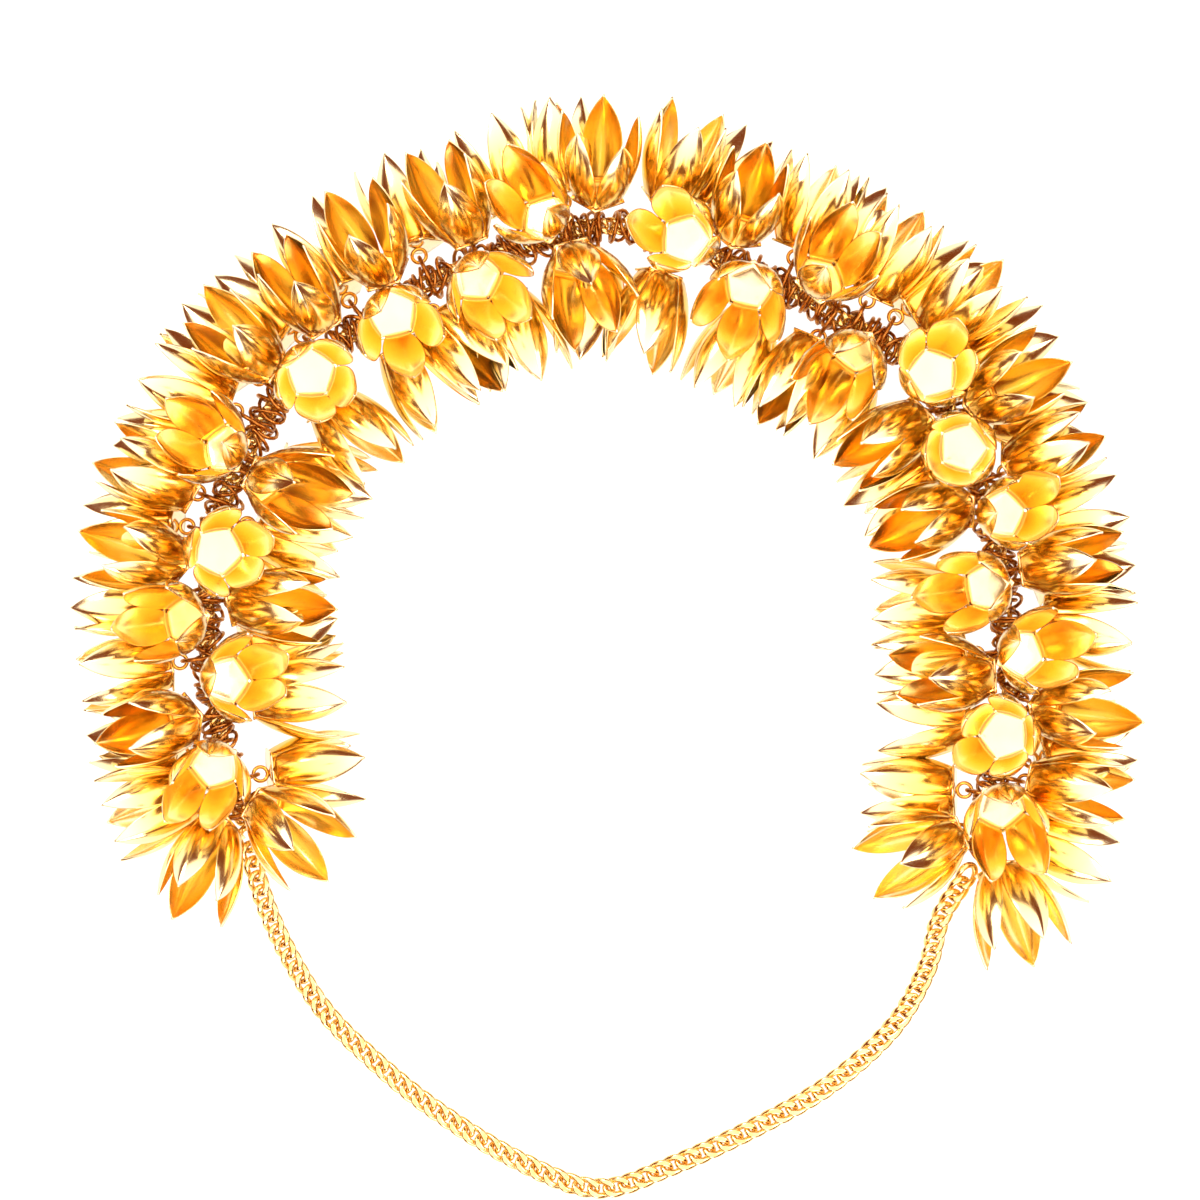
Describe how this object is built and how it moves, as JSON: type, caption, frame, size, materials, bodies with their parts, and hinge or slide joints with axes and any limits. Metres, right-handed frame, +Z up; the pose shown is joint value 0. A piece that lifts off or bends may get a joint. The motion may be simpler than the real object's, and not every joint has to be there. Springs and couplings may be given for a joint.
{
  "type": "gajra",
  "caption": "Gold-plated gajra for a hair bun: a horseshoe of stamped five-petal metal flower cups on a curb chain that closes the loop.",
  "frame": {"origin": "middle of the outline seen from above, on the surface that the gajra lies on", "axes": "+Z up from the surface, towards the flowers that face up; +Y from the bare chain towards the top of the horseshoe; +X to the right in the picture"},
  "size_m": [0.1943, 0.2016, 0.0398],
  "materials": {
    "gold_plate": "polished gold plate",
    "ring_gold": "polished gold plate",
    "chain_gold": "polished pale gold plate"
  },
  "bodies": {
    "root": {"front_flower_1": "gold_plate", "front_flower_2": "gold_plate", "front_flower_3": "gold_plate", "front_flower_4": "gold_plate", "front_flower_5": "gold_plate", "front_flower_6": "gold_plate", "front_flower_7": "gold_plate", "front_flower_8": "gold_plate", "front_flower_9": "gold_plate", "front_flower_10": "gold_plate", "front_flower_11": "gold_plate", "front_flower_12": "gold_plate", "front_flower_13": "gold_plate", "front_flower_14": "gold_plate", "front_flower_15": "gold_plate", "front_flower_16": "gold_plate", "front_flower_17": "gold_plate", "front_flower_18": "gold_plate", "front_flower_19": "gold_plate", "front_flower_20": "gold_plate", "front_flower_21": "gold_plate", "front_flower_22": "gold_plate", "front_flower_23": "gold_plate", "front_flower_24": "gold_plate", "inner_flower_1": "gold_plate", "inner_flower_2": "gold_plate", "inner_flower_3": "gold_plate", "inner_flower_4": "gold_plate", "inner_flower_5": "gold_plate", "inner_flower_6": "gold_plate", "inner_flower_7": "gold_plate", "inner_flower_8": "gold_plate", "inner_flower_9": "gold_plate", "inner_flower_10": "gold_plate", "inner_flower_11": "gold_plate", "inner_flower_12": "gold_plate", "inner_flower_13": "gold_plate", "inner_flower_14": "gold_plate", "inner_flower_15": "gold_plate", "inner_flower_16": "gold_plate", "outer_flowers_left": "gold_plate", "outer_flowers_right": "gold_plate", "jump_rings_left": "ring_gold", "jump_rings_right": "ring_gold", "core_chain": "chain_gold", "free_chain": "chain_gold"}
  },
  "joints": []
}
